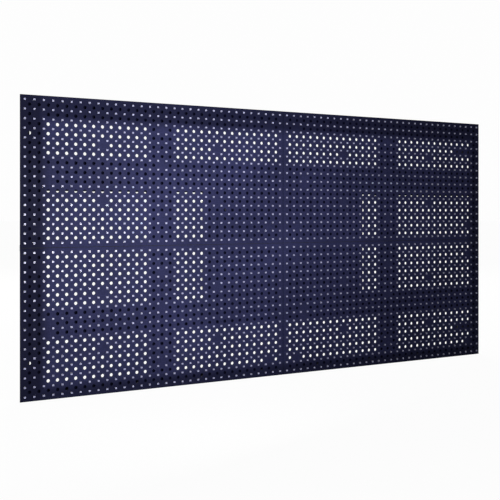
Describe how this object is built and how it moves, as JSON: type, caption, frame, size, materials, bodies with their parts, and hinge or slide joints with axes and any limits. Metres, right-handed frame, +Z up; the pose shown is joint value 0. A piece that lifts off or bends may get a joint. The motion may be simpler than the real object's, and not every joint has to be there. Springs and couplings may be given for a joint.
{
  "type": "perforated led display panel",
  "caption": "See-through LED display cabinet: perforated LED boards on a riveted sheet frame with ducts, a rear control box and side bolts.",
  "frame": {"origin": "centre of the four rear bolting points, in the plane of the rivet nut flanges", "axes": "+X to the right as seen from the lit side, +Y to the back, +Z up; the boards face -Y"},
  "size_m": [1.0321, 0.075, 0.5112],
  "materials": {
    "board": "satin solder mask",
    "led": "satin",
    "chip": "matt moulded epoxy",
    "black_plastic": "matt",
    "ivory_plastic": "matt",
    "plated_steel": "zinc plated",
    "black_paint": "fine powder coat",
    "cast_paint": "powder coat on a casting",
    "rubber": "closed-cell sponge",
    "bare_aluminium": "bare sheet",
    "green_card": "satin solder mask",
    "ribbon": "satin",
    "red_plastic": "gloss",
    "black_lead": "satin",
    "brown_lead": "satin"
  },
  "bodies": {
    "cabinet": {"led_board_top_left": "board", "led_board_top_right": "board", "led_board_bottom_left": "board", "led_board_bottom_right": "board", "leds_top_left": "led", "leds_top_right": "led", "leds_bottom_left": "led", "leds_bottom_right": "led", "driver_chips": "chip", "data_sockets": "black_plastic", "module_power_sockets": "ivory_plastic", "fixing_studs": "plated_steel", "service_pillars": "plated_steel", "seam_strips": "rubber", "module_screws": "plated_steel", "left_rail": "black_paint", "right_rail": "black_paint", "top_rail": "black_paint", "bottom_rail": "black_paint", "uprights_top": "black_paint", "uprights_middle": "black_paint", "uprights_bottom": "black_paint", "upper_duct": "black_paint", "lower_duct": "black_paint", "duct_covers": "black_paint", "centre_plate": "black_paint", "joint_plates": "black_paint", "cleats": "black_paint", "frame_rivets": "black_paint", "mounting_nuts": "plated_steel", "box_tray": "black_paint", "box_standoffs": "plated_steel", "hinge_box_leaves": "plated_steel", "hinge_pins": "plated_steel", "power_supply_case": "bare_aluminium", "power_supply_terminals": "black_plastic", "control_card": "green_card", "card_parts": "black_plastic", "hub_card": "green_card", "card_pillars": "plated_steel", "box_sockets": "black_plastic", "test_button_ring": "plated_steel", "ribbon_cables": "ribbon", "ribbon_plugs": "black_plastic", "positive_leads": "red_plastic", "negative_leads": "black_lead", "mains_leads": "brown_lead", "power_plugs": "ivory_plastic", "bolt_cases": "cast_paint", "keeper_blocks": "cast_paint"},
    "door": {"box_door": "black_paint", "door_gasket": "rubber", "hinge_door_leaves": "plated_steel", "latch_bezels": "plated_steel"},
    "latch_upper": {"latch_upper": "plated_steel"},
    "latch_lower": {"latch_lower": "plated_steel"},
    "side_bolt_upper": {"side_bolt_upper": "plated_steel"},
    "side_bolt_lower": {"side_bolt_lower": "plated_steel"},
    "test_button": {"test_button": "red_plastic"}
  },
  "joints": [
    {"name": "door_hinge", "type": "hinge", "parent": "cabinet", "child": "door", "pos_m": [-0.14335, 0.029, -0.00264], "axis": [0, 0, 1], "range_deg": [0, 110]},
    {"name": "latch_upper_turn", "type": "hinge", "parent": "door", "child": "latch_upper", "pos_m": [0.163, 0.038, 0.05236], "axis": [0, 1, 0], "range_deg": [0, 90]},
    {"name": "latch_lower_turn", "type": "hinge", "parent": "door", "child": "latch_lower", "pos_m": [0.163, 0.038, -0.05764], "axis": [0, 1, 0], "range_deg": [0, 90]},
    {"name": "side_bolt_upper_slide", "type": "slide", "parent": "cabinet", "child": "side_bolt_upper", "axis": [1, 0, 0], "range_m": [-0.01, 0.015]},
    {"name": "side_bolt_lower_slide", "type": "slide", "parent": "cabinet", "child": "side_bolt_lower", "axis": [1, 0, 0], "range_m": [0, 0.025]},
    {"name": "test_button_press", "type": "slide", "parent": "cabinet", "child": "test_button", "axis": [-1, 0, 0], "range_m": [0, 0.002], "stiffness_N_per_m": 300, "springref_m": -0.0005}
  ]
}
